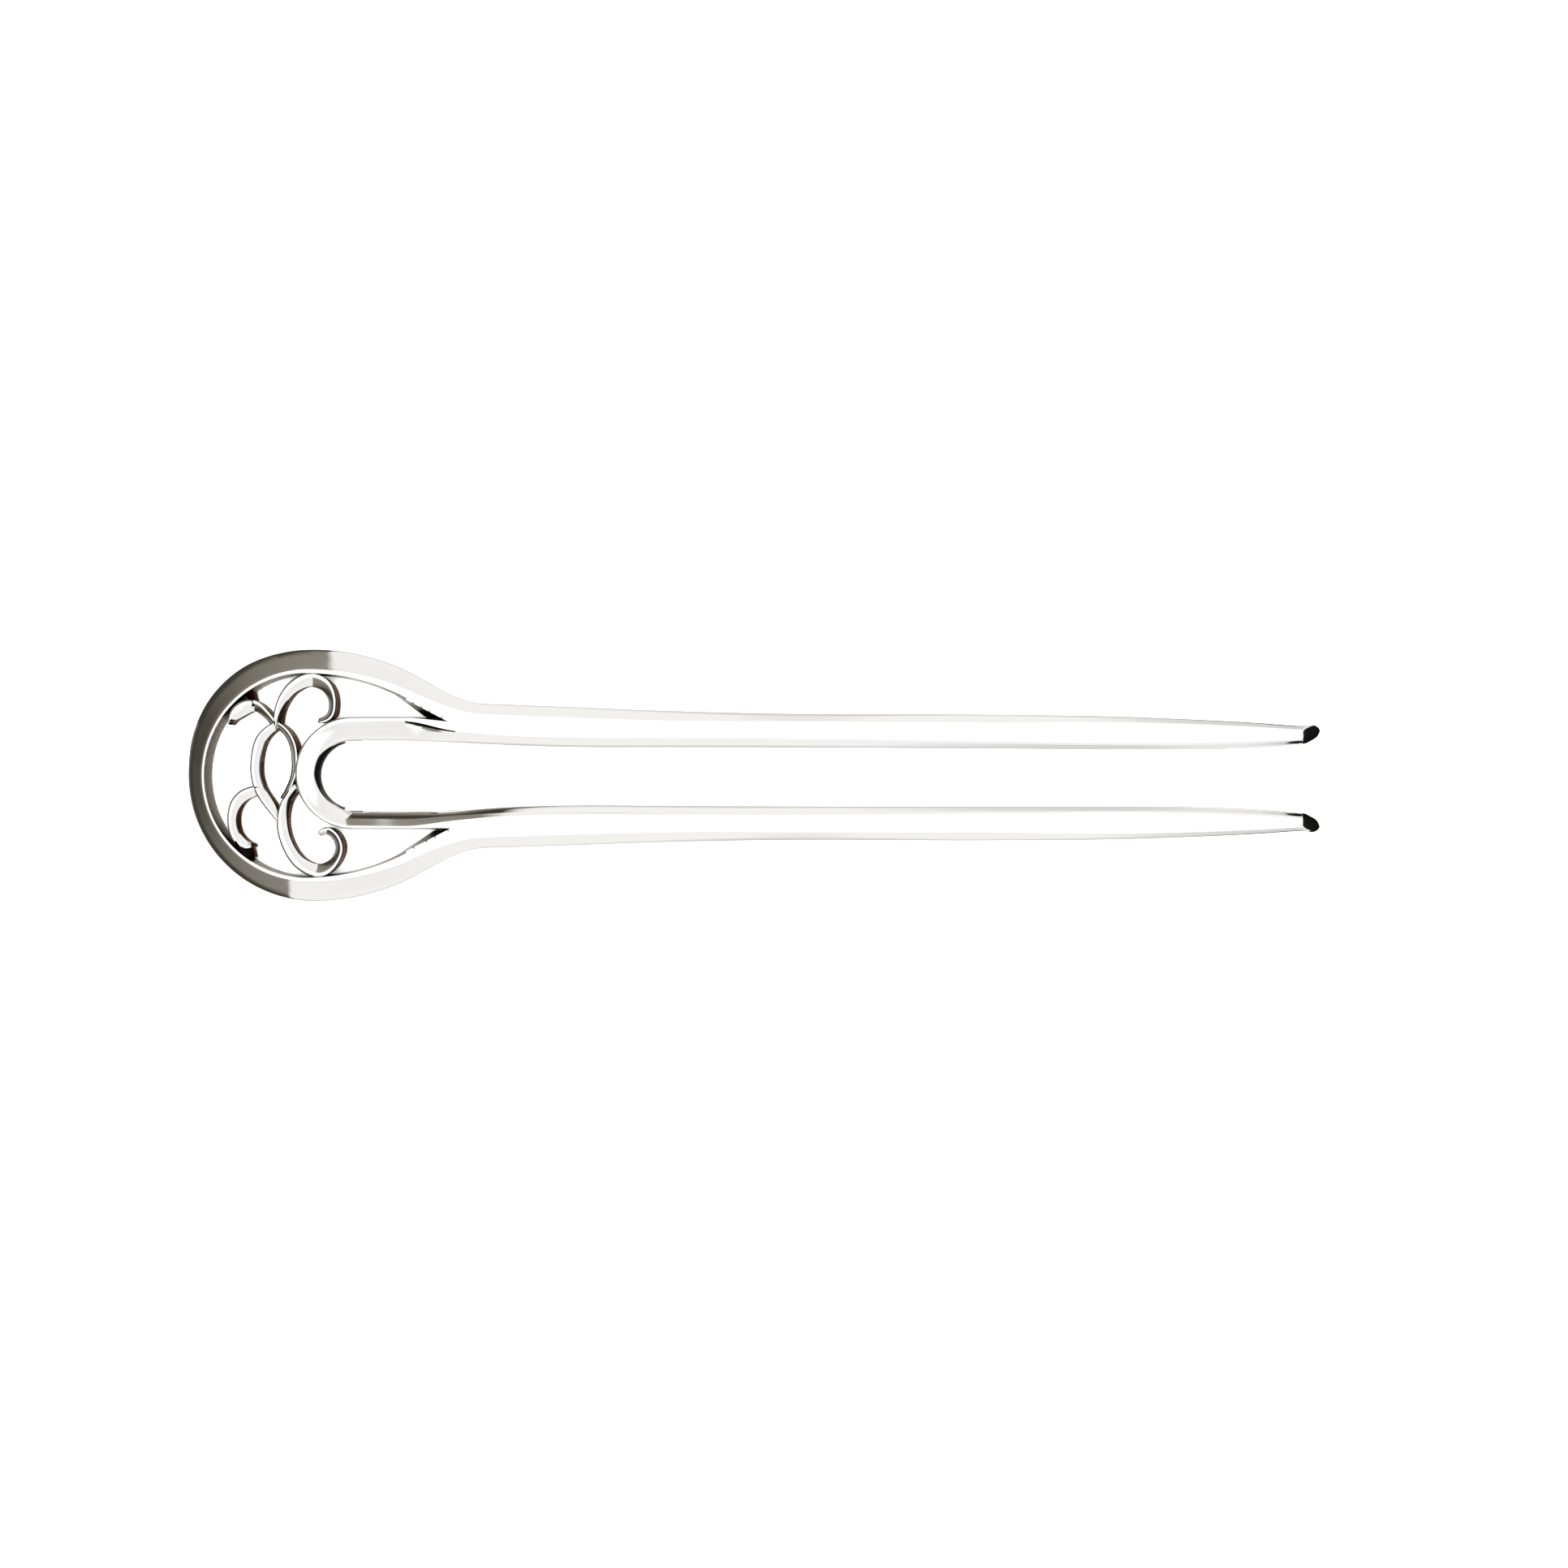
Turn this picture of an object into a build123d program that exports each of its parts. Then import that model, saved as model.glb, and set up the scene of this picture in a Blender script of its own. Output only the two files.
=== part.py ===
# Two-prong hair fork, cast in one piece: a round pierced head of cloud scrolls on two long legs.
# Millimetres, +X from the head to the tips, +Z up out of the upper face, resting on z = 0.
import math
import os

from build123d import *

# Driving dimensions
overall_length = 135.0
metal_thickness = 2.8
head_radius = 15.05
land_height = 1.1  # upright edge between the bevels of the two faces

# Rim of the head, measured from the head centre
head_swell = [(106, 0.20), (124, 0.55), (144, 0.60), (162, 0.34), (180, 0.0), (216, 0.03), (243, 0.0)]
# degrees round the head, and how far the outer edge stands out from the circle there
shoulder_radius = 24.0  # where the circle opens out towards the legs
shoulder_end = 60.0  # degrees round that arc, from the side of the head
rim_top_radius = 12.55  # outer border of the flat top, behind the wide bevel
rim_top_shift = -0.55  # the bevel is narrowest at the far end of the head
rim_top_shoulder_radius = 30.0
rim_top_shoulder_end = 66.0
opening_radius = 12.1  # inner wall of the rim
opening_shift = -0.6
opening_shoulder_radius = 23.4
opening_shoulder_end = 64.0
opening_slope = 27.2  # degrees, straight run of the rim's wall down to the neck
opening_corner = 0.1

# Arch between the legs
arch_centre = 4.68
gap_half_width = 3.95
arch_top_half_width = 6.15  # inner border of the arch's flat top
arch_outer_half_width = 6.65
arch_side_shift = 0.22  # the arch's band is a little wider on one side
arm_end = 11.9  # the bevel of the arch narrows from here to the neck
neck = 16.5
neck_half_width = 3.77
neck_bevel = 1.6
arm_drop = 0.7  # one arm narrows by this much from its end to just past the neck

# Where the flat top, the two steps of the bevels and the upright edge lie, from the face inwards.
# depth below the face, share of the outer bevel still to come, share of the inner bevel
bevel_levels = [
    (0.0, 1.0, 1.0),
    (0.3, 0.647, 0.32),
    ((metal_thickness - land_height) / 2, 0.0, 0.0),
]

# Legs: x from the head centre, outer half-width, outer bevel, inner half-width, inner bevel
leg_stations = [
    (20.5, 8.72, 1.45, 3.58, 1.37),
    (30.0, 8.40, 1.45, 3.28, 1.28),
    (42.0, 7.96, 1.35, 3.28, 1.25),
    (56.0, 7.66, 1.12, 3.30, 1.22),
    (80.0, 7.62, 1.10, 3.28, 1.00),
    (97.0, 7.38, 0.84, 3.24, 0.88),
    (106.0, 7.04, 0.74, 3.31, 0.90),
    (112.5, 6.70, 0.68, 3.58, 0.86),
    (117.35, 6.38, 0.62, 4.02, 0.66),
]
flare_end_slope = -1.5  # degrees
# Blunt end of a leg, from its outer side to its inner side
nose = [(119.45, 6.22), (119.93, 5.75), (119.6, 5.05), (118.62, 4.43)]

# Scrolls of the pierced head, each a band with a ridge on its outer side and a bevel inside its curl.
# Rows hold x and y from the head centre and the width of the band.
scroll_inset = 0.12  # scrolls lie this much below the faces
scroll_bevel_depth = 0.32
scroll_ridge_share = 0.38
scrolls = {
    "upper_swirl": (
        "right",
        [
            (-4.20, 5.90, 0.80),
            (-3.85, 8.20, 1.10),
            (-2.40, 10.40, 1.45),
            (-0.20, 11.35, 1.70),
            (1.55, 10.55, 1.50),
            (2.30, 8.75, 1.05),
            (1.95, 7.05, 0.95),
            (0.85, 6.50, 0.70),
        ],
    ),
    "lower_swirl": (
        "left",
        [
            (-1.70, -1.20, 0.80),
            (-2.98, -2.85, 1.00),
            (-3.58, -5.20, 1.25),
            (-3.02, -8.10, 1.35),
            (-1.25, -10.55, 1.50),
            (0.90, -11.30, 1.65),
            (2.60, -10.20, 1.20),
            (3.18, -8.60, 1.05),
            (2.60, -7.15, 1.00),
            (1.80, -6.62, 0.95),
            (0.95, -6.88, 0.65),
        ],
    ),
    "arch_left": (
        "left",
        [
            (-4.25, 5.90, 0.90),
            (-5.92, 4.55, 1.25),
            (-6.74, 1.70, 1.20),
            (-6.70, -0.10, 1.20),
            (-6.20, -1.75, 1.25),
            (-5.32, -3.15, 1.25),
            (-4.45, -4.35, 1.10),
            (-3.80, -5.30, 0.80),
        ],
    ),
    "arch_right": (
        "right",
        [
            (-4.30, 6.00, 0.80),
            (-3.10, 5.00, 0.90),
            (-2.42, 3.70, 0.95),
            (-2.15, 1.90, 0.90),
            (-2.25, 0.20, 0.80),
            (-2.75, -1.30, 0.75),
            (-3.60, -2.80, 0.70),
        ],
    ),
    "small_hook": (
        "left",
        [
            (-4.40, 5.70, 0.90),
            (-5.55, 7.20, 1.05),
            (-6.90, 8.20, 1.40),
            (-8.05, 8.02, 1.75),
            (-9.00, 7.38, 1.70),
            (-9.68, 6.50, 1.25),
            (-9.95, 5.50, 0.75),
        ],
    ),
    "small_web": ("left", [(-7.15, 8.10, 0.80), (-7.42, 9.10, 0.75), (-7.75, 10.20, 0.85)]),
    "small_curl": (
        "left",
        [
            (-6.40, -1.75, 1.00),
            (-7.20, -2.00, 1.30),
            (-8.20, -2.45, 1.40),
            (-9.00, -3.30, 1.35),
            (-9.42, -4.50, 1.20),
            (-9.45, -5.85, 1.15),
            (-9.10, -7.10, 1.20),
            (-8.35, -8.00, 1.20),
            (-7.35, -8.35, 0.65),
        ],
    ),
}

head_centre_x = head_radius - overall_length / 2


def level_plane(z):
    return Plane((head_centre_x, 0, z))


def mix(full, top, share):
    return full + (top - full) * share


def polar(centre_x, centre_y, radius, degrees):
    angle = math.radians(degrees)
    return (centre_x + radius * math.cos(angle), centre_y + radius * math.sin(angle))


def heading(degrees, side):
    angle = math.radians(degrees)
    return (math.cos(angle), side * math.sin(angle))


def fork_outline(outer_share, inner_share):
    """The fork's outline at one level, drawn in by the given shares of its two bevels."""
    shift = rim_top_shift * outer_share
    radius = mix(head_radius, rim_top_radius, outer_share)
    shoulder = mix(shoulder_radius, rim_top_shoulder_radius, outer_share)
    shoulder_stop = mix(shoulder_end, rim_top_shoulder_end, outer_share)
    shoulder_middle = polar(shift, radius - shoulder, shoulder, (90 + shoulder_stop) / 2)
    shoulder_corner = polar(shift, radius - shoulder, shoulder, shoulder_stop)
    outer_edge = [(x, outer - bevel * outer_share) for x, outer, bevel, _, _ in leg_stations]
    inner_edge = [
        (x, inner + bevel * inner_share) for x, _, _, inner, bevel in reversed(leg_stations)
    ]
    end_x, end_outer, _, end_inner, _ = leg_stations[-1]
    nose_edge = []
    for x, y in nose:
        across = (end_outer - y) / (end_outer - end_inner)
        flat_y = mix(outer_edge[-1][1], inner_edge[0][1], across)
        nose_edge.append((mix(x, end_x, outer_share), mix(y, flat_y, outer_share)))
    neck_point = (neck, neck_half_width + neck_bevel * inner_share)
    arch_half = mix(gap_half_width, arch_top_half_width, inner_share)
    arch_y = arch_side_shift * inner_share

    for side in (1, -1):
        outer = [(x, side * y) for x, y in outer_edge]
        inner = [(x, side * y) for x, y in inner_edge]
        shoulder_start = (shift, side * radius)
        shoulder_finish = (shoulder_corner[0], side * shoulder_corner[1])
        ThreePointArc(
            shoulder_start, (shoulder_middle[0], side * shoulder_middle[1]), shoulder_finish
        )
        Spline(
            shoulder_finish,
            outer[0],
            tangents=[heading(shoulder_stop - 90, side), heading(flare_end_slope, side)],
        )
        Spline(*outer, tangents=[heading(flare_end_slope, side), heading(-2, side)])
        if outer_share > 0.9:
            Line(outer[-1], inner[0])
        else:
            rounding = [(x, side * y) for x, y in nose_edge]
            Spline(outer[-1], *rounding, inner[0], tangents=[heading(-3, side), heading(168, side)])
        side_neck = (neck, side * neck_point[1])
        arm_corner = (arm_end, side * arch_half + arch_y)
        Spline(*inner, side_neck)
        Line(side_neck, arm_corner)
        Line(arm_corner, (arch_centre, side * arch_half + arch_y))

    head_edge = [
        polar(shift, 0, radius + swell * (1 - outer_share), degrees) for degrees, swell in head_swell
    ]
    Spline((shift, radius), *head_edge, (shift, -radius), tangents=[(-1, 0), (1, 0)])
    ThreePointArc(
        (arch_centre, arch_half + arch_y),
        (arch_centre - arch_half, arch_y),
        (arch_centre, arch_y - arch_half),
    )


def opening_side(side):
    """One half of the wall inside the rim, from the end of the head to past the neck."""
    shoulder_y = opening_radius - opening_shoulder_radius
    start = (opening_shift - opening_radius, 0)
    side_x, side_y = opening_shift, opening_radius
    middle_x, middle_y = polar(opening_shift, 0, opening_radius, 135)
    bend_x, bend_y = polar(
        opening_shift, shoulder_y, opening_shoulder_radius, (90 + opening_shoulder_end) / 2
    )
    corner_x, corner_y = polar(
        opening_shift, shoulder_y, opening_shoulder_radius, opening_shoulder_end
    )
    run = neck + 1.5 - corner_x
    end = (neck + 1.5, side * (corner_y - run * math.tan(math.radians(opening_slope))))
    ThreePointArc(start, (middle_x, side * middle_y), (side_x, side * side_y))
    ThreePointArc(
        (side_x, side * side_y), (bend_x, side * bend_y), (corner_x, side * corner_y)
    )
    Line((corner_x, side * corner_y), end)
    return end


def scroll_outline(inner_side, rows, share):
    """A band along a curve, with its inner side drawn in by the share of its bevel."""
    centres = [(x, y) for x, y, _ in rows]
    path = Spline(*centres, mode=Mode.PRIVATE)
    turn = 1 if inner_side == "left" else -1
    inner, outer = [], []
    for x, y, width in rows:
        tangent = path.tangent_at(Vector(x, y))
        normal = Vector(-tangent.Y, tangent.X) * turn
        bevel = width * (1 - scroll_ridge_share) * share
        inner.append(Vector(x, y) + normal * (width / 2 - bevel))
        outer.append(Vector(x, y) - normal * (width / 2))
    Spline(*inner)
    Line(inner[-1], outer[-1])
    Spline(*reversed(outer))
    Line(outer[0], inner[0])


with BuildPart() as hair_fork:
    # Rim, legs and arch, with the same bevels on both faces
    upper_levels = [(metal_thickness - depth, o, i) for depth, o, i in reversed(bevel_levels)]
    for z, outer_share, inner_share in bevel_levels + upper_levels:
        with BuildSketch(level_plane(z)):
            with BuildLine():
                fork_outline(outer_share, inner_share)
            make_face()
    loft(ruled=True)

    # The head is cut right through, between the rim and the band of the arch
    with BuildSketch(level_plane(0)) as opening:
        with BuildLine():
            upper_end = opening_side(1)
            lower_end = opening_side(-1)
            Line(upper_end, lower_end)
        make_face()
        with Locations((arch_centre, arch_side_shift)):
            Circle(arch_outer_half_width, mode=Mode.SUBTRACT)
        upper_edge = arch_side_shift + arch_outer_half_width
        lower_edge = arch_side_shift - arch_outer_half_width
        with BuildLine():
            Polyline(
                (arch_centre, lower_edge),
                (neck + 2, lower_edge),
                (neck + 2, upper_edge - arm_drop),
                (arm_end, upper_edge),
                (arch_centre, upper_edge),
                close=True,
            )
        make_face(mode=Mode.SUBTRACT)
        fillet(opening.vertices().sort_by(Axis.X)[-2:], radius=opening_corner)
    extrude(amount=metal_thickness, mode=Mode.SUBTRACT)

    # Cloud scrolls, grown into the rim, the arch and each other
    scroll_levels = [
        (scroll_inset, 1.0),
        (scroll_inset + scroll_bevel_depth, 0.0),
        (metal_thickness - scroll_inset - scroll_bevel_depth, 0.0),
        (metal_thickness - scroll_inset, 1.0),
    ]
    for inner_side, rows in scrolls.values():
        for z, share in scroll_levels:
            with BuildSketch(level_plane(z)):
                with BuildLine():
                    scroll_outline(inner_side, rows, share)
                make_face()
        loft(ruled=True)

os.makedirs("parts", exist_ok=True)
hair_fork.part.label = "hair_fork"
export_step(hair_fork.part, "parts/hair_fork.step")
print("volume of metal, cubic millimetres:", round(hair_fork.part.volume, 1))
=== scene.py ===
import math

import bmesh
import bpy
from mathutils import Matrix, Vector, geometry


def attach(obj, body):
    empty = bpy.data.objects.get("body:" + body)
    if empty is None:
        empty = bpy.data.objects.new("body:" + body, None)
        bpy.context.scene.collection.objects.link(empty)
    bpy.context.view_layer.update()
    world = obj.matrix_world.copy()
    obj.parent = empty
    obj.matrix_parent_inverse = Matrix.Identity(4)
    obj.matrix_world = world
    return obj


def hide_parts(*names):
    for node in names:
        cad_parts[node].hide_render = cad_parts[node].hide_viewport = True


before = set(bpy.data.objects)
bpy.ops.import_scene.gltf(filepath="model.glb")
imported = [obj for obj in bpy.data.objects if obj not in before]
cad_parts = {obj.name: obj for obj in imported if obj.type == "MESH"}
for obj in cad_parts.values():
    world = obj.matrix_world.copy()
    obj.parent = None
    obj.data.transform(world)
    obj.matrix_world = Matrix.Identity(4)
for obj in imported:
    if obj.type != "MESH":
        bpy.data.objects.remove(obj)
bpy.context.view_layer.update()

# A hair fork lying on its back, seen from straight above: head at -X, tips at +X.
# Sizes are in millimetres from the centre of the head, and toMetres puts them in the CAD frame.
headX = -52.45  # where that centre lies
thickness = 2.8


def toMetres(point):
    return Vector((point[0] + headX, point[1], point[2])) * 0.001


def mix(a, b, share):
    return a + (b - a) * share


def clamp(share):
    return max(0, min(share, 1))


def pointAt(centreX, centreY, radius, degrees, mark=0.0):
    turn = math.radians(degrees)
    return Vector((centreX + radius * math.cos(turn), centreY + radius * math.sin(turn), mark))


def arc(centreX, centreY, radius, start, stop, steps):
    # steps points from the start angle up to, but without, the stop angle
    return [pointAt(centreX, centreY, radius, mix(start, stop, i / steps)) for i in range(steps)]


def way(degrees):
    return pointAt(0, 0, 1, degrees)


def smoothPath(points, steps, startWay=None, endWay=None):
    # A smooth curve through all points, steps per span; a way is the direction at that end
    points = [Vector(p) for p in points]
    gaps = [max((b - a).length, 1e-6) for a, b in zip(points, points[1:])]
    slopes = [(b - a) / gap for a, b, gap in zip(points, points[1:], gaps)]
    ways = [slopes[0]] * len(points)
    for i in range(1, len(points) - 1):
        ways[i] = (slopes[i - 1] * gaps[i] + slopes[i] * gaps[i - 1]) / (gaps[i - 1] + gaps[i])
    ways[0] = startWay or (slopes[0] * 2 - ways[1])
    ways[-1] = endWay or (slopes[-1] * 2 - ways[-2])
    path = []
    for i, gap in enumerate(gaps):
        a, b = points[i], points[i + 1]
        leave, arrive = a + ways[i] * gap / 3, b - ways[i + 1] * gap / 3
        path += geometry.interpolate_bezier(a, leave, arrive, b, steps + 1)[:-1]
    return path + [points[-1]]


def skin(bm, rings):
    # Pulls a ring of edges through a row of equally long rings; returns the vertices of each
    verts = [bm.verts.new(toMetres(p)) for p in rings[0]]
    made = [verts]
    edges = [bm.edges.new(pair) for pair in zip(verts, verts[1:] + verts[:1])]
    for ring in rings[1:]:
        pulled = bmesh.ops.extrude_edge_only(bm, edges=edges)["geom"]
        fresh = {part for part in pulled if isinstance(part, bmesh.types.BMVert)}
        verts = [next(end for edge in v.link_edges if (end := edge.other_vert(v)) in fresh) for v in verts]
        for vert, point in zip(verts, ring):
            vert.co = toMetres(point)
        edges = [bm.edges.get(pair) for pair in zip(verts, verts[1:] + verts[:1])]
        made.append(verts)
    return made


def edgesAlong(bm, verts, chosen=None):
    # The edges round a ring, or those with both ends among the chosen places
    edges = []
    for i, vert in enumerate(verts):
        if chosen is None or (chosen[i] and chosen[i - 1]):
            edges.append(bm.edges.get((verts[i - 1], vert)))
    return edges


def roundEdges(bm, edges, radius, segments):
    bmesh.ops.bevel(
        bm,
        geom=edges,
        offset=radius * 0.001,
        offset_type="OFFSET",
        segments=segments,
        profile=0.5,
        affect="EDGES",
        clamp_overlap=True,
        material=-1,
    )


def paintShade(faces):
    # These faces take the second material of their piece, the painted shade of the walls
    for face in faces:
        face.material_index = 1


def finishPiece(name, bm, materials):
    bmesh.ops.remove_doubles(bm, verts=bm.verts[:], dist=2e-6)
    bmesh.ops.recalc_face_normals(bm, faces=bm.faces[:])
    mesh = bpy.data.meshes.new(name)
    for face in bm.faces:
        face.smooth = True
    bm.to_mesh(mesh)
    bm.free()
    piece = bpy.data.objects.new(name, mesh)
    bpy.context.scene.collection.objects.link(piece)
    for material in materials:
        mesh.materials.append(material)
    weighted = piece.modifiers.new("evenShading", "WEIGHTED_NORMAL")
    weighted.keep_sharp = True
    weighted.weight = 100
    return piece


def fromHex(code):
    parts = [int(code[i : i + 2], 16) / 255 for i in (1, 3, 5)]
    return [p / 12.92 if p <= 0.04045 else ((p + 0.055) / 1.055) ** 2.4 for p in parts] + [1.0]


def addNode(tree, kind, values=None, links=None, **settings):
    node = tree.nodes.new(kind)
    for key, value in settings.items():
        setattr(node, key, value)
    for socket, value in (values or {}).items():
        node.inputs[socket].default_value = value
    for socket, source in (links or {}).items():
        tree.links.new(source, node.inputs[socket])
    return node


# Bright nickel plating over a polished zinc casting: a sharp mirror to the eye, faintly uneven from tumbling
plate = {
    "colour": "#f3f2f0",
    "roughness": 0.04,
    "waviness": 0.02,
    "wavesPerMetre": 260,  # one every 4 mm
    "scratchesPerMetre": 2600,  # polishing lines of 0.05 mm, drawn at 0.4 mm so that they show
    "scratchStretch": (0.12, 1.0, 1.0),  # they run along the legs
}
# The plating on cut walls carries painted shade: coloured nearly black for the shade and dark reflections
# there, and a blurred mirror only along its edges
paintedWallShade = {
    "rim": ("#1d1815", "#f1ece6"),  # seen square on, seen from the edge
    "scroll": ("#140f0d", "#bdb1a8"),
    "roughness": 0.28,
    "waviness": 0.1,
}


def platedMetal(name, colour, edgeTint, finish):
    material = bpy.data.materials.new(name)
    material.use_nodes = True
    tree = material.node_tree
    shader = tree.nodes["Principled BSDF"]
    shader.inputs["Metallic"].default_value = 1.0
    shader.inputs["Base Color"].default_value = fromHex(colour)
    shader.inputs["Specular Tint"].default_value = fromHex(edgeTint)
    place = addNode(tree, "ShaderNodeTexCoord").outputs["Object"]
    waves = addNode(
        tree,
        "ShaderNodeTexNoise",
        {"Scale": plate["wavesPerMetre"], "Detail": 1.0},
        {"Vector": place},
    )
    along = addNode(tree, "ShaderNodeMapping", {"Scale": plate["scratchStretch"]}, {"Vector": place})
    scratches = addNode(
        tree,
        "ShaderNodeTexNoise",
        {"Scale": plate["scratchesPerMetre"], "Detail": 3.0, "Roughness": 0.6},
        {"Vector": along.outputs["Vector"]},
    )
    smooth, rough = finish["roughness"] * 0.8, finish["roughness"] * 1.5
    spread = addNode(
        tree,
        "ShaderNodeMapRange",
        {"From Min": 0.35, "From Max": 0.7, "To Min": smooth, "To Max": rough},
        {"Value": scratches.outputs["Fac"]},
    )
    tree.links.new(spread.outputs["Result"], shader.inputs["Roughness"])
    bump = addNode(
        tree,
        "ShaderNodeBump",
        {"Strength": finish["waviness"], "Distance": 0.0004},
        {"Height": waves.outputs["Fac"]},
    )
    tree.links.new(bump.outputs["Normal"], shader.inputs["Normal"])
    return material


brightPlate = platedMetal("brightNickelPlate", plate["colour"], "#ffffff", plate)
# The two wall materials are painted shade, near-black where the walls lie in shade
rimPaintedShade = platedMetal("rimWallPaintedShade", *paintedWallShade["rim"], paintedWallShade)
scrollPaintedShade = platedMetal("scrollWallPaintedShade", *paintedWallShade["scroll"], paintedWallShade)
print("materials ready")

# Rim, arch and legs: one casting, a stack of outlines joined from face to face

# At the parting line, on the flat top
rim = {
    "shift": (0.0, -0.47),
    "radius": (15.05, 12.55),
    "shoulderRadius": (26.0, 30.0),
    "shoulderStop": (62.0, 66.0),
    "swell": [(162, 0.34), (144, 0.60), (124, 0.55), (106, 0.20)],  # degrees round the head, stand-out there
}
arch = {
    "centre": 4.68,
    "half": 3.95,
    "topHalf": 6.15,
    "lowTopHalf": 6.2,  # of the lower arm
    "outerHalf": 6.65,
    "lowOuterHalf": 6.45,
    "shift": 0.22,
    "armEnd": 11.9,
    "neck": 16.5,
    "neckHalf": 3.77,
    "neckBevel": 1.6,
    "steps": 26,
}
# x, outer half-width, outer bevel, inner half-width, inner bevel
legs = [
    (20.5, 8.72, 1.45, 3.58, 1.37),
    (30.0, 8.40, 1.45, 3.28, 1.28),
    (42.0, 7.96, 1.35, 3.28, 1.25),
    (56.0, 7.66, 1.12, 3.30, 1.22),
    (80.0, 7.62, 1.10, 3.28, 1.00),
    (97.0, 7.38, 0.84, 3.24, 0.88),
    (106.0, 7.04, 0.74, 3.31, 0.90),
    (112.5, 6.70, 0.68, 3.58, 0.86),
    (117.35, 6.38, 0.62, 4.02, 0.66),
]
# x, y, how far round from the outer bevel to the inner one
nose = [(119.45, 6.22, 0.12), (119.93, 5.75, 0.4), (119.6, 5.05, 0.7), (118.62, 4.43, 0.9)]
# From the flat top down to the parting line: depth and share of the outer bevel, depth of the inner bevel,
# its shares along the lower arm, round the arch and along the legs, depth of the crease
levels = [
    (0.0, 1.07, 0.0, 1.03, 1.07, 1.07, 0.0),
    (0.0, 1.0, 0.0, 1.0, 1.0, 1.0, 0.0),
    (0.108, 0.85, 0.075, 0.86, 0.92, 0.92, 0.3),
    (0.253, 0.647, 0.215, 0.59, 0.73, 0.73, 0.17),
    (0.422, 0.412, 0.52, 0.372, 0.3, 0.33, 0.07),
    (0.62, 0.136, 0.67, 0.29, 0.21, 0.17, 0.0),
    (0.85, 0.0, 0.82, 0.2, 0.12, 0.07, 0.0),
    (1.13, 0.0, 1.08, 0.09, 0.04, 0.02, 0.0),
    (1.26, 0.0, 1.28, 0.03, 0.01, 0.0, 0.0),
    (1.4, 0.0, 1.4, 0.0, 0.0, 0.0, 0.0),
]
# The levels where the flat top ends, where the inner bevel folds and where the outer one meets the upright land
border, folds, land = 1, (3, 4), 6
bevels = {
    "landDepth": 0.85,
    "noseDrop": 0.25,  # the end facet falls a little more steeply
    "swellDrop": 0.33,  # and so does the rim where the head stands out
    "swellTurns": (96, 177.8),  # degrees round the head
    "tipRise": 0.34,  # the narrowing bevels of the legs are also less deep
    "tipRiseFrom": 50.0,
    "tipRiseTo": 117.0,
    "borderRadius": 0.09,
    "landRadius": 0.12,
    "foldRadius": 0.05,
}
crease = {"start": 11.2, "middle": 12.4, "stop": 17.4, "spread": 0.7}  # where the upper arm meets its leg


def headPath(share, swellShare):
    # Round the head and over the shoulder; also its last corner and the angle there
    keys = ("shift", "radius", "shoulderRadius", "shoulderStop")
    shift, radius, shoulder, stop = (mix(*rim[key], share) for key in keys)
    swell = [pointAt(shift, 0, radius + out * swellShare, at) for at, out in rim["swell"]]
    quarter = [Vector((shift - radius, 0, 0)), *swell, Vector((shift, radius, 0))]
    points = smoothPath(quarter, 10, way(90), way(0))[:-1]
    points += arc(shift, radius - shoulder, shoulder, 90, stop, 16)
    return points, pointAt(shift, radius - shoulder, shoulder, stop), stop


def nosePath(outerEnd, innerEnd, share):
    # Round the blunt end of a leg, with corners on the flat top
    endX, endOuter, _, endInner, _ = legs[-1]
    path = [outerEnd]
    for x, y, mark in nose:
        flatY = mix(outerEnd.y, innerEnd.y, (endOuter - y) / (endOuter - endInner))
        path.append(Vector((mix(x, endX, share), mix(y, flatY, share), mark)))
    path.append(innerEnd)
    ways = (None, None) if share > 0.9 else (way(-3), way(168))
    return smoothPath(path, 5, *ways)[:-1]


def archPath(side, armShare, archShare, legShare):
    # Round a quarter of the arch, where the bevel changes from the arm's to the arch's own
    steps = arch["steps"]
    topHalf = arch["topHalf"] if side > 0 else arch["lowTopHalf"]
    points = []
    for i in range(steps + 1):
        fromArm = clamp(i / 8)
        toArch = clamp((i - 2) / 8 if side > 0 else (i - 16) / 10)
        share = mix(mix(armShare, legShare, fromArm), archShare, toArch)
        half = mix(arch["half"], mix(topHalf, arch["topHalf"], fromArm), share)
        points.append(pointAt(arch["centre"], arch["shift"] * share * side, half, 90 + 90 * i / steps, 1))
    return points


def forkHalf(side, outerShare, armShare, archShare, legShare):
    # One half of the outline, from the end of the head round to the bottom of the arch;
    # z marks how far a point belongs to the inner bevel
    if side > 0:
        armShare = legShare
    points, corner, stop = headPath(outerShare, (1 - outerShare) * (side > 0))
    outer = [Vector((x, half - bevel * outerShare, 0)) for x, half, bevel, _, _ in legs]
    inner = [Vector((x, half + bevel * legShare, 1)) for x, _, _, half, bevel in reversed(legs[1:])]
    neckX, _, _, neckHalf, neckBevel = legs[0]
    inner.append(Vector((neckX, neckHalf + neckBevel * mix(armShare, legShare, 0.5), 1)))
    topHalf = arch["topHalf"] if side > 0 else arch["lowTopHalf"]
    armY = mix(arch["half"], topHalf, armShare) + arch["shift"] * armShare * side
    inner += [
        Vector((arch["neck"], arch["neckHalf"] + arch["neckBevel"] * armShare, 1)),
        Vector((arch["armEnd"], armY, 1)),
        Vector((arch["centre"], armY, 1)),
    ]
    points += smoothPath([corner, outer[0]], 10, way(stop - 90), way(-1.5))[:-1]
    points += smoothPath(outer, 8, way(-1.5), way(-2))[:-1]
    for end in (outer[-1], inner[0]):
        end.x -= 2 * max(outerShare - 1, 0)
    points += nosePath(outer[-1], inner[0], outerShare)
    points += smoothPath(inner, 8, endWay=way(180))[:-1]
    points += archPath(side, armShare, archShare, legShare)
    return [Vector((p.x, p.y * side, p.z)) for p in points]


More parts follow.
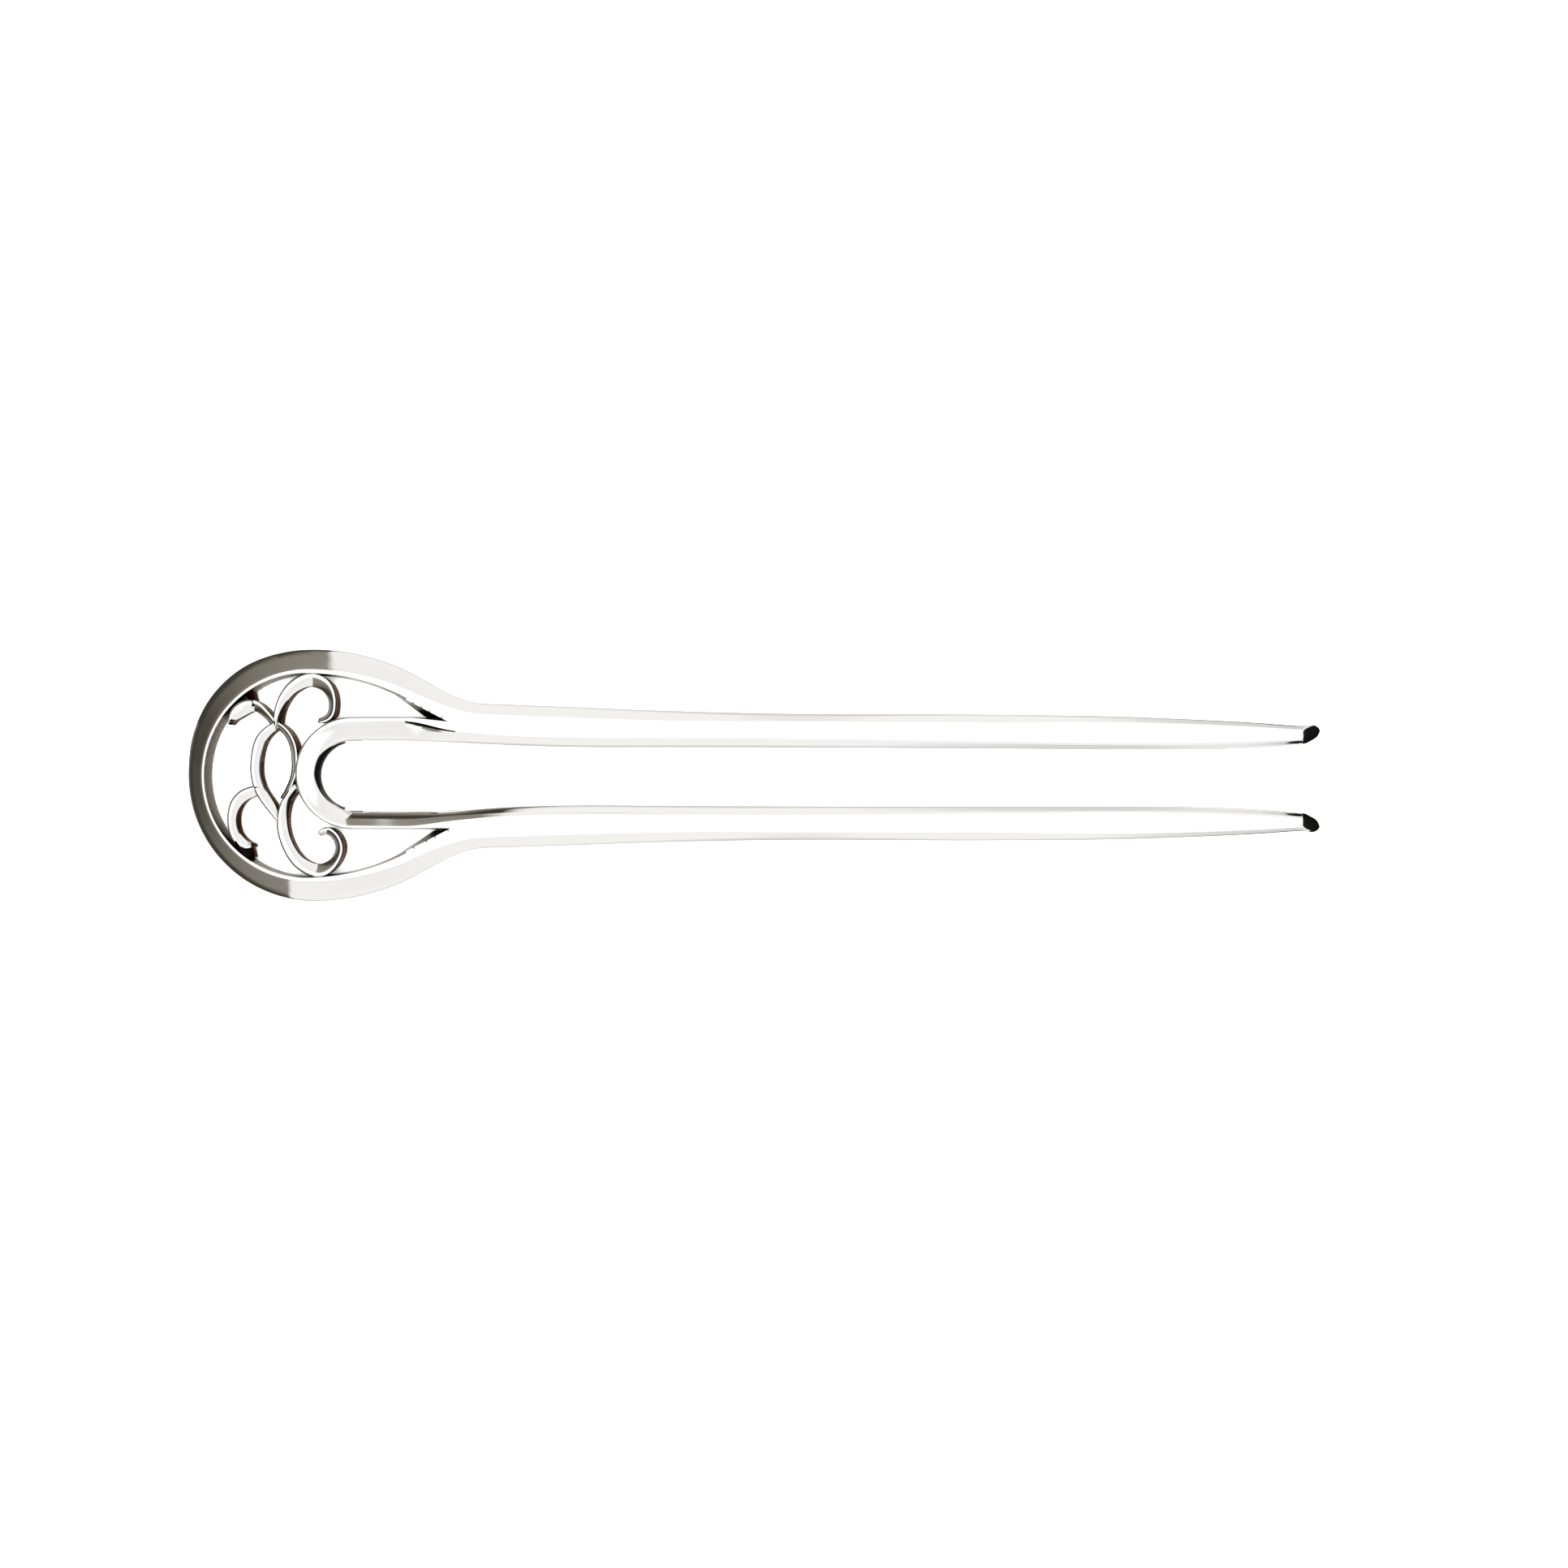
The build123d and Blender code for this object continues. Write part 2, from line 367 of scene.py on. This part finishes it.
def creaseShare(x):
    before = (x - crease["start"]) / (crease["middle"] - crease["start"])
    after = (crease["stop"] - x) / (crease["stop"] - crease["middle"])
    return clamp(min(before, after))


def forkRing(level, onTop):
    outerDepth, outerShare, innerDepth, *shares, creaseDepth = level
    # No change of depth on the flat top or at the parting line, the full one at the land
    landDepth = bevels["landDepth"]
    room = min(outerDepth / landDepth, (thickness / 2 - outerDepth) / (thickness / 2 - landDepth))
    swellStart, swellStop = bevels["swellTurns"]
    tipStart, tipStop = bevels["tipRiseFrom"], bevels["tipRiseTo"]
    ring = []
    for p in forkHalf(1, outerShare, *shares) + forkHalf(-1, outerShare, *shares)[-2:0:-1]:
        y = p.y
        depth = mix(outerDepth, innerDepth, p.z)
        nosePart = 4 * p.z * (1 - p.z)
        depth += bevels["noseDrop"] * room * nosePart
        depth -= bevels["tipRise"] * room * (1 - nosePart) * clamp((p.x - tipStart) / (tipStop - tipStart))
        if p.z == 0 and p.x < 0 < p.y:
            turn = math.degrees(math.atan2(p.y, p.x))
            halfWave = clamp((turn - swellStart) / (swellStop - swellStart))
            depth += bevels["swellDrop"] * room * math.sin(math.pi * halfWave)
        if p.z == 1 and p.y > 0:
            hollow = creaseDepth * creaseShare(p.x)
            depth += hollow
            y -= hollow * crease["spread"]
        ring.append(Vector((p.x, y, thickness - depth if onTop else depth)))
    return ring


# The pierced opening between the rim and the arch
opening = {
    "radius": 12.1,
    "shift": -0.66,
    "shoulderRadius": 23.4,
    "shoulderStop": 64.0,
    "slope": 27.2,
    "armDrop": 0.7,
    "armDropLength": 6.6,
    "lip": 0.06,
    "draft": 0.17,  # the walls lean in towards the parting line
    "cornerWebs": (1.9, 1.3),  # and close the upper and lower sharp corner there
}


def openingRing(grow, z, webs=(0, 0)):
    shift, shoulder, stop = opening["shift"], opening["shoulderRadius"], opening["shoulderStop"]
    radius = opening["radius"] + grow
    bandRadius = arch["outerHalf"] - grow
    bandTop = arch["shift"] + bandRadius
    bandLow = arch["lowOuterHalf"] - arch["shift"] - grow
    # The straight sides of the shoulders run down to the arms, which end in the two sharp corners
    corner = pointAt(shift, radius - shoulder, shoulder, stop)
    slope = -math.tan(math.radians(opening["slope"]))
    armSlope = -opening["armDrop"] / opening["armDropLength"]
    armEnd = Vector((arch["armEnd"], bandTop, 0))
    topX = (corner.y - slope * corner.x - bandTop + armSlope * armEnd.x) / (armSlope - slope) - webs[0]
    topCorner = Vector((topX, bandTop + armSlope * (topX - armEnd.x), 0))
    lowCorner = Vector((corner.x + (bandLow - corner.y) / slope - webs[1], bandLow, 0))
    rimSide = arc(shift, 0, radius, 180, 90, 48) + arc(shift, radius - shoulder, shoulder, 90, stop, 16)
    upper = rimSide + smoothPath([corner, topCorner], 14)[:-1]
    lower = rimSide + smoothPath([corner, lowCorner], 14)[:-1]
    band = smoothPath([topCorner, armEnd], 6)[:-1]
    band += smoothPath([armEnd, Vector((arch["centre"], bandTop, 0))], 6)[:-1]
    band += arc(arch["centre"], arch["shift"], bandRadius, 90, 180, 24)
    for i in range(24):
        bandHalf = mix(bandRadius, arch["shift"] + bandLow, i / 24)
        band.append(pointAt(arch["centre"], arch["shift"], bandHalf, 180 + 90 * i / 24))
    band += smoothPath([Vector((arch["centre"], -bandLow, 0)), Vector((lowCorner.x, -bandLow, 0))], 12)
    ring = upper + band + [Vector((p.x, -p.y, 0)) for p in lower[:0:-1]]
    return [Vector((p.x, p.y, z)) for p in ring]


bm = bmesh.new()
topRings = [forkRing(level, True) for level in levels]
backRings = [forkRing(level, False) for level in levels[-2::-1]]
outline = skin(bm, topRings + backRings)
marks = [p.z for p in forkHalf(1, 0.5, 0.5, 0.5, 0.5)]
marks += marks[-2:0:-1]
lip = opening["lip"]
walls = skin(
    bm,
    [
        openingRing(lip, thickness),
        openingRing(lip * 0.3, thickness - lip * 0.3),
        openingRing(-0.01, thickness - lip),
        openingRing(-opening["draft"], thickness / 2, opening["cornerWebs"]),
        openingRing(-0.01, lip),
        openingRing(lip * 0.3, lip * 0.3),
        openingRing(lip, 0),
    ],
)
for outer, inner, up in ((outline[0], walls[0], 1), (outline[-1], walls[-1], -1)):
    flatEdges = edgesAlong(bm, outer) + edgesAlong(bm, inner)
    bmesh.ops.triangle_fill(bm, edges=flatEdges, use_beauty=True, normal=(0, 0, up))
last = len(outline) - 1
isOuter = [mark < 0.95 for mark in marks]
isInner = [mark == 1 for mark in marks]
# Painted shade goes on the pierced walls, the wall of the arch and the crease, where they lie in shade
paintShade(face for vert in walls[3] for face in vert.link_faces)
archWallStop = toMetres((3.7, 0, 0)).x
for ring in outline[land + 1 : last - land]:
    for vert, inner in zip(ring, isInner):
        if inner and vert.co.x < archWallStop:
            paintShade(vert.link_faces)
for upper, lower in ((border, border + 1), (last - border, last - border - 1)):
    for a, b, inner in zip(outline[upper], outline[lower], isInner):
        x = a.co.x * 1000 - headX
        if inner and a.co.y > 0 and crease["start"] + 0.4 < x < crease["stop"] - 0.6:
            paintShade(set(a.link_faces) & set(b.link_faces))
borders = [e for i in (border, last - border) for e in edgesAlong(bm, outline[i])]
landEdges = [e for i in (land, last - land) for e in edgesAlong(bm, outline[i], isOuter)]
foldEdges = [e for i in folds for j in (i, last - i) for e in edgesAlong(bm, outline[j], isInner)]
roundEdges(bm, borders, bevels["borderRadius"], 2)
roundEdges(bm, landEdges, bevels["landRadius"], 2)
roundEdges(bm, foldEdges, bevels["foldRadius"], 1)
forkFrame = finishPiece("forkFrame", bm, [brightPlate, rimPaintedShade])
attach(forkFrame, "root")
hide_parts("hair_fork")
print("rim, arch and legs ready")

# Cloud scrolls: bands swept along curves, flat on the outer side of the curl and bevelled inside it
scrollForm = {
    "inset": 0.12,  # below the flat of the rim
    "bevelDepth": 0.42,
    "flatShare": 0.34,
    "flatRounding": 0.1,
    "backShare": 0.8,  # the back of a band is narrower
    "ends": ((0.35, 0.92), (0.62, 0.7), (0.78, 0.35)),  # how far a free end runs on, its width there
}
shadePaintedFeet = ("smallWeb", "smallFoot")  # painted shade all over, for the shade between the small scrolls and the rim
# Inner side of the curl, whether it ends free, then x, y, width
scrolls = {
    "upperSwirl": (
        "right",
        True,
        [
            (-4.20, 5.90, 0.80),
            (-3.85, 8.20, 1.10),
            (-2.40, 10.40, 1.45),
            (-0.20, 11.35, 1.70),
            (1.55, 10.55, 1.50),
            (2.30, 8.75, 1.05),
            (1.95, 7.05, 0.95),
            (0.85, 6.50, 0.70),
        ],
    ),
    "lowerSwirl": (
        "left",
        True,
        [
            (-1.70, -1.20, 0.80),
            (-2.98, -2.85, 1.00),
            (-3.58, -5.20, 1.25),
            (-3.02, -8.10, 1.35),
            (-1.25, -10.55, 1.50),
            (0.90, -11.30, 1.65),
            (2.60, -10.20, 1.20),
            (3.18, -8.60, 1.05),
            (2.60, -7.15, 1.00),
            (1.80, -6.62, 0.95),
            (0.95, -6.88, 0.65),
        ],
    ),
    "archLeft": (
        "left",
        False,
        [
            (-4.25, 5.90, 0.90),
            (-5.92, 4.55, 1.25),
            (-6.74, 1.70, 1.20),
            (-6.70, -0.10, 1.20),
            (-6.20, -1.75, 1.25),
            (-5.32, -3.15, 1.25),
            (-4.45, -4.35, 1.10),
            (-3.80, -5.30, 0.80),
        ],
    ),
    "archRight": (
        "right",
        False,
        [
            (-4.30, 6.00, 0.80),
            (-3.10, 5.00, 0.90),
            (-2.42, 3.70, 0.95),
            (-2.15, 1.90, 0.90),
            (-2.25, 0.20, 0.80),
            (-2.75, -1.30, 0.75),
            (-3.60, -2.80, 0.70),
        ],
    ),
    "smallHook": (
        "left",
        True,
        [
            (-4.40, 5.70, 0.90),
            (-5.55, 7.20, 1.05),
            (-6.90, 8.20, 1.40),
            (-8.05, 8.02, 1.75),
            (-9.00, 7.38, 1.60),
            (-9.60, 6.62, 0.80),
            (-9.85, 6.05, 0.22),
        ],
    ),
    "smallWeb": ("left", False, [(-7.15, 8.10, 0.80), (-7.42, 9.10, 0.75), (-7.75, 10.20, 0.85)]),
    "smallFoot": ("left", False, [(-8.80, -7.60, 1.10), (-8.05, -8.60, 1.50), (-7.55, -9.90, 1.30)]),
    "smallCurl": (
        "left",
        True,
        [
            (-6.40, -1.75, 1.00),
            (-7.20, -2.00, 1.30),
            (-8.20, -2.45, 1.40),
            (-9.00, -3.30, 1.35),
            (-9.42, -4.50, 1.20),
            (-9.45, -5.85, 1.15),
            (-9.10, -7.10, 1.20),
            (-8.35, -8.00, 1.20),
            (-7.35, -8.35, 0.65),
        ],
    ),
}


def scrollSection(centre, heading, width, innerSide, scale=1.0):
    # Closed section across the band: u runs from its outer side at -1 to its inner side at +1
    heading = Vector((heading.x, heading.y, 0)).normalized()
    across = Vector((-heading.y, heading.x, 0)) * (1 if innerSide == "left" else -1)
    top = thickness - scrollForm["inset"]
    low = top - scrollForm["bevelDepth"]
    ridge = -1 + 2 * scrollForm["flatShare"]
    front = [
        (-1, top - 0.14),
        (-0.93, top - 0.05),
        (-0.8, top),
        (ridge - scrollForm["flatRounding"], top),
        (ridge + scrollForm["flatRounding"], top - 0.04),
        (0.84, low + 0.05),
        (0.97, low - 0.02),
        (1, low - 0.12),
    ]
    back = [(u * scrollForm["backShare"], thickness - z) for u, z in reversed(front)]
    ring = []
    for u, z in front + back:
        place = centre + across * u * width / 2 * scale
        ring.append(Vector((place.x, place.y, mix(thickness / 2, z, mix(0.8, 1, scale)))))
    return ring


bm = bmesh.new()
for name, (innerSide, endsFree, rows) in scrolls.items():
    path = smoothPath(rows, 7)
    headings = [b - a for a, b in zip(path, path[1:])]
    headings.append(headings[-1])
    sections = []
    for i, (p, heading) in enumerate(zip(path, headings)):
        if i:
            heading = heading.normalized() + headings[i - 1].normalized()
        sections.append(scrollSection(Vector((p.x, p.y, 0)), heading, p.z, innerSide))
    if endsFree:
        end, ahead = path[-1], Vector((headings[-1].x, headings[-1].y, 0)).normalized()
        for reach, scale in scrollForm["ends"]:
            spot = Vector((end.x, end.y, 0)) + ahead * reach * end.z / 2
            sections.append(scrollSection(spot, ahead, end.z, innerSide, scale))
    made = skin(bm, sections)
    for ends in (made[0], made[-1]):
        bmesh.ops.contextual_create(bm, geom=ends)
    faces = {face for ring in made for vert in ring for face in vert.link_faces}
    bmesh.ops.recalc_face_normals(bm, faces=list(faces))
    # Steep side walls of the bands, and the small feet, get painted shade
    paintShade(face for face in faces if name in shadePaintedFeet or abs(face.normal.z) < 0.5)
cloudScrolls = finishPiece("cloudScrolls", bm, [brightPlate, scrollPaintedShade])
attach(cloudScrolls, "root")
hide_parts("hair_fork")
print("cloud scrolls ready")

# Floor, surroundings and camera

# Matt white paper: no gloss, so that only the soft shadows show on it
paper = bpy.data.materials.new("whitePaper")
paper.use_nodes = True
paperShader = paper.node_tree.nodes["Principled BSDF"]
paperShader.inputs["Base Color"].default_value = fromHex("#f8f8f6")
paperShader.inputs["Roughness"].default_value = 0.9
paperShader.inputs["Specular IOR Level"].default_value = 0.0

bm = bmesh.new()
bmesh.ops.create_grid(bm, x_segments=1, y_segments=1, size=1.5)
floorMesh = bpy.data.meshes.new("studioFloor")
bm.to_mesh(floorMesh)
bm.free()
floorMesh.materials.append(paper)
studioFloor = bpy.data.objects.new("studioFloor", floorMesh)
bpy.context.scene.collection.objects.link(studioFloor)

# The metal mirrors a white tent with a grey gap on the side of the head and a low dark one beyond the tips.
# Each gap lies between two lines given by azimuth and elevation; the colours go up from the horizon.
surroundings = {
    "strength": 1.4,
    "tent": [
        (0.0, "#9a9896"),
        (0.15, "#b4b3b1"),
        (0.36, "#c4c3c1"),
        (0.45, "#dcdcdb"),
        (0.79, "#d9d9d8"),
        (0.85, "#d5d4d3"),
        (0.875, "#dcdcdb"),
        (0.89, "#ffffff"),
    ],
    "headGapSides": (((98, 0), (110.5, 48)), ((247, 0), (234.9, 48))),
    "headGap": [
        (0.0, "#9a9690"),
        (0.22, "#5f5b55"),
        (0.33, "#34312d"),
        (0.487, "#3a3732"),
        (0.532, "#4c4842"),
        (0.584, "#625e56"),
        (0.646, "#6f6b63"),
        (0.7, "#75716a"),
        (0.88, "#807c74"),
        (0.905, "#ffffff"),
    ],
    "tipGapSides": (((-80, 0), (-38, 42)), ((80, 0), (38, 42))),
    "tipGap": [
        (0.0, "#c4c3c1"),
        (0.1, "#b4b3b1"),
        (0.13, "#0b0b0a"),
        (0.55, "#161514"),
        (0.65, "#24221f"),
        (0.69, "#dcdcdb"),
        (0.9, "#dcdcdb"),
        (0.92, "#ffffff"),
    ],
}
world = bpy.data.worlds.new("softTent")
world.use_nodes = True
bpy.context.scene.world = world
sky = world.node_tree
ray = addNode(sky, "ShaderNodeTexCoord").outputs["Generated"]
height = addNode(sky, "ShaderNodeSeparateXYZ", links={"Vector": ray}).outputs["Z"]


def towards(azimuth, elevation):
    a, e = math.radians(azimuth), math.radians(elevation)
    return Vector((math.cos(a) * math.cos(e), math.sin(a) * math.cos(e), math.sin(e)))


def coloursByHeight(stops):
    node = addNode(sky, "ShaderNodeValToRGB", links={"Fac": height})
    while len(node.color_ramp.elements) < len(stops):
        node.color_ramp.elements.new(0.5)
    for element, (at, colour) in zip(node.color_ramp.elements, stops):
        element.position = at
        element.color = fromHex(colour)
    return node.outputs["Color"]


def between(startSide, stopSide):
    # 1 between the two lines and 0 outside them, with a soft edge
    isInside = []
    for side, turn in ((startSide, -1), (stopSide, 1)):
        away = towards(*side[0]).cross(towards(*side[1])).normalized() * turn
        facing = addNode(sky, "ShaderNodeVectorMath", {1: away}, {0: ray}, operation="DOT_PRODUCT")
        edge = {"From Min": -0.01, "From Max": 0.01}
        softened = addNode(sky, "ShaderNodeMapRange", edge, {"Value": facing.outputs["Value"]})
        isInside.append(softened.outputs["Result"])
    both = addNode(sky, "ShaderNodeMath", links=dict(enumerate(isInside)), operation="MULTIPLY")
    return both.outputs["Value"]


colour = coloursByHeight(surroundings["tent"])
for gap in ("headGap", "tipGap"):
    gapColour = coloursByHeight(surroundings[gap])
    inGap = between(*surroundings[gap + "Sides"])
    # Sockets 0, 6 and 7 are the factor and the two colours, and output 2 is the mixed colour
    links = {0: inGap, 6: colour, 7: gapColour}
    colour = addNode(sky, "ShaderNodeMix", links=links, data_type="RGBA").outputs[2]
backdrop = sky.nodes["Background"]
backdrop.inputs["Strength"].default_value = surroundings["strength"]
sky.links.new(colour, backdrop.inputs["Color"])

# The softbox overhead lights the paper; the metal mirrors the tent
lamp = {"size": 0.7, "energy": 9.0, "height": 0.6}
softbox = bpy.data.lights.new("softbox", "AREA")
softbox.shape = "DISK"
softbox.size = lamp["size"]
softbox.energy = lamp["energy"]
softboxHolder = bpy.data.objects.new("softbox", softbox)
softboxHolder.location = (0, 0, lamp["height"])
softboxHolder.visible_glossy = False
bpy.context.scene.collection.objects.link(softboxHolder)

cameraSetup = {"place": (3.49, -0.85, 189.6), "turn": 0.19, "lens": 36.2236, "sensor": 36.0}
photoCamera = bpy.data.objects.new("photoCamera", bpy.data.cameras.new("photoCamera"))
photoCamera.data.sensor_width = cameraSetup["sensor"]
photoCamera.data.lens = cameraSetup["lens"]
photoCamera.data.clip_start = 0.01
photoCamera.data.clip_end = 10.0
photoCamera.location = Vector(cameraSetup["place"]) * 0.001
photoCamera.rotation_euler = (0, 0, math.radians(cameraSetup["turn"]))
bpy.context.scene.collection.objects.link(photoCamera)
bpy.context.scene.camera = photoCamera
bpy.context.scene.view_settings.view_transform = "Standard"
print("floor, surroundings and camera ready")
